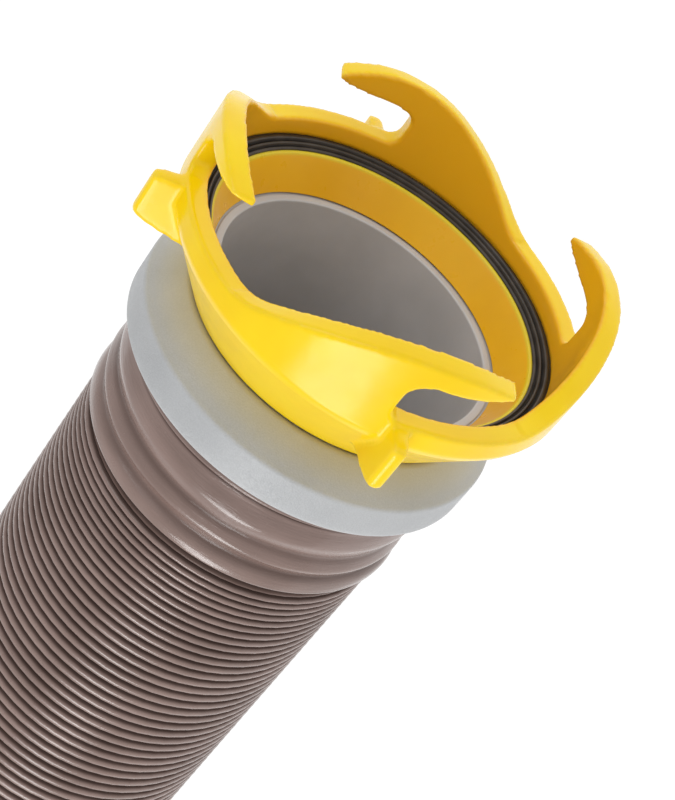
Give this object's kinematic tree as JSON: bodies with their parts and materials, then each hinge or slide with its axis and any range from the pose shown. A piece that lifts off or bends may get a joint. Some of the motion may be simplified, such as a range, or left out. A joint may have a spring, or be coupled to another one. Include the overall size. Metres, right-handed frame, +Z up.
{
  "type": "sewer hose kit",
  "caption": "Compressible spiral-wire drain hose with a swivel bayonet fitting on one end, a swivel lug fitting on the other, and gray locking collars.",
  "frame": {"origin": "centre of the bayonet's seal plane, on the axis of the fitting", "axes": "+X out of the bayonet mouth, along the hose; +Z up; the hose lies along -X on its fittings"},
  "size_m": [0.99, 0.1124, 0.1124],
  "materials": {
    "yellow_plastic": "glossy moulded plastic",
    "yellow_insert": "glossy moulded plastic",
    "black_rubber": "satin rubber",
    "gray_tube": "satin moulded plastic",
    "gray_collar": "frosted moulded plastic",
    "spring_steel": "drawn wire",
    "hose_vinyl": "glossy flexible vinyl"
  },
  "bodies": {
    "bayonet_end": {"bayonet_end_adapter_tube": "gray_tube", "bayonet_end_swivel_o_ring": "black_rubber", "bayonet_end_hose_barb": "gray_tube", "bayonet_end_locking_collar": "gray_collar", "bayonet_end_snap_ring": "spring_steel", "bayonet_end_wire_end_turn": "spring_steel", "bayonet_end_hose_cuff": "hose_vinyl", "hose": "hose_vinyl"},
    "bayonet": {"bayonet_ring": "yellow_plastic", "bayonet_throat_insert": "yellow_insert", "bayonet_lip_seal": "black_rubber"},
    "lug_end": {"lug_end_adapter_tube": "gray_tube", "lug_end_swivel_o_ring": "black_rubber", "lug_end_hose_barb": "gray_tube", "lug_end_locking_collar": "gray_collar", "lug_end_snap_ring": "spring_steel", "lug_end_wire_end_turn": "spring_steel", "lug_end_hose_cuff": "hose_vinyl"},
    "lug": {"lug_ring": "yellow_plastic", "lug_throat_insert": "yellow_insert"}
  },
  "joints": [
    {"name": "bayonet_swivel", "type": "hinge", "parent": "bayonet_end", "child": "bayonet", "pos_m": [0, 0, 0], "axis": [1, 0, 0], "continuous": true},
    {"name": "hose_stretch", "type": "slide", "parent": "bayonet_end", "child": "lug_end", "axis": [-1, 0, 0], "range_m": [0, 3.582], "deforming": ["hose"]},
    {"name": "lug_swivel", "type": "hinge", "parent": "lug_end", "child": "lug", "pos_m": [-0.9651, 0, 0], "axis": [-1, 0, 0], "continuous": true}
  ]
}
